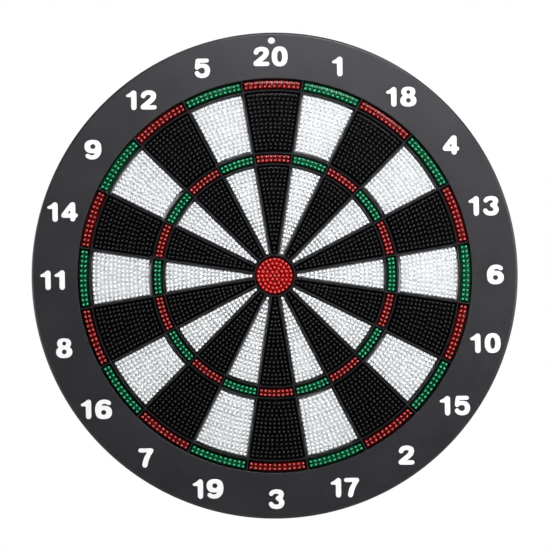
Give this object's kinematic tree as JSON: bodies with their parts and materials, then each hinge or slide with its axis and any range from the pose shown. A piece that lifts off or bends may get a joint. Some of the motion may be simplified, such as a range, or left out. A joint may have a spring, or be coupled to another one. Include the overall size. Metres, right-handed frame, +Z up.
{
  "type": "soft-tip safety dartboard",
  "caption": "Round wall dartboard for soft darts: a moulded number ring and web around coloured fields of flexible nubs, with a ribbed back cover and a hanging hole.",
  "frame": {"origin": "centre of the wall face, behind the bull", "axes": "the play face looks along -Y, +Y points into the wall, +Z is up through the 20 field, +X is to the player's right"},
  "size_m": [0.42, 0.025, 0.42],
  "materials": {
    "frame_plastic": "matte moulded dark grey plastic, fine grain",
    "cover_plastic": "matte moulded black plastic",
    "nub_black": "flexible soft-touch plastic, satin",
    "nub_white": "flexible soft-touch plastic, satin",
    "nub_red": "flexible soft-touch plastic, satin",
    "nub_green": "flexible soft-touch plastic, satin",
    "screw_steel": "zinc-plated steel"
  },
  "bodies": {
    "root": {"front_frame": "frame_plastic", "outer_single_20": "nub_black", "inner_single_20": "nub_black", "outer_single_01": "nub_white", "inner_single_01": "nub_white", "outer_single_18": "nub_black", "inner_single_18": "nub_black", "outer_single_04": "nub_white", "inner_single_04": "nub_white", "outer_single_13": "nub_black", "inner_single_13": "nub_black", "outer_single_06": "nub_white", "inner_single_06": "nub_white", "outer_single_10": "nub_black", "inner_single_10": "nub_black", "outer_single_15": "nub_white", "inner_single_15": "nub_white", "outer_single_02": "nub_black", "inner_single_02": "nub_black", "outer_single_17": "nub_white", "inner_single_17": "nub_white", "outer_single_03": "nub_black", "inner_single_03": "nub_black", "outer_single_19": "nub_white", "inner_single_19": "nub_white", "outer_single_07": "nub_black", "inner_single_07": "nub_black", "outer_single_16": "nub_white", "inner_single_16": "nub_white", "outer_single_08": "nub_black", "inner_single_08": "nub_black", "outer_single_11": "nub_white", "inner_single_11": "nub_white", "outer_single_14": "nub_black", "inner_single_14": "nub_black", "outer_single_09": "nub_white", "inner_single_09": "nub_white", "outer_single_12": "nub_black", "inner_single_12": "nub_black", "outer_single_05": "nub_white", "inner_single_05": "nub_white", "double_ring_red": "nub_red", "double_ring_green": "nub_green", "treble_ring_red": "nub_red", "treble_ring_green": "nub_green", "bull_insert": "nub_red", "back_cover": "cover_plastic", "cover_screw_01": "screw_steel", "cover_screw_02": "screw_steel", "cover_screw_03": "screw_steel", "cover_screw_04": "screw_steel", "cover_screw_05": "screw_steel", "cover_screw_06": "screw_steel", "cover_screw_07": "screw_steel", "cover_screw_08": "screw_steel", "cover_screw_09": "screw_steel", "cover_screw_10": "screw_steel"}
  },
  "joints": []
}
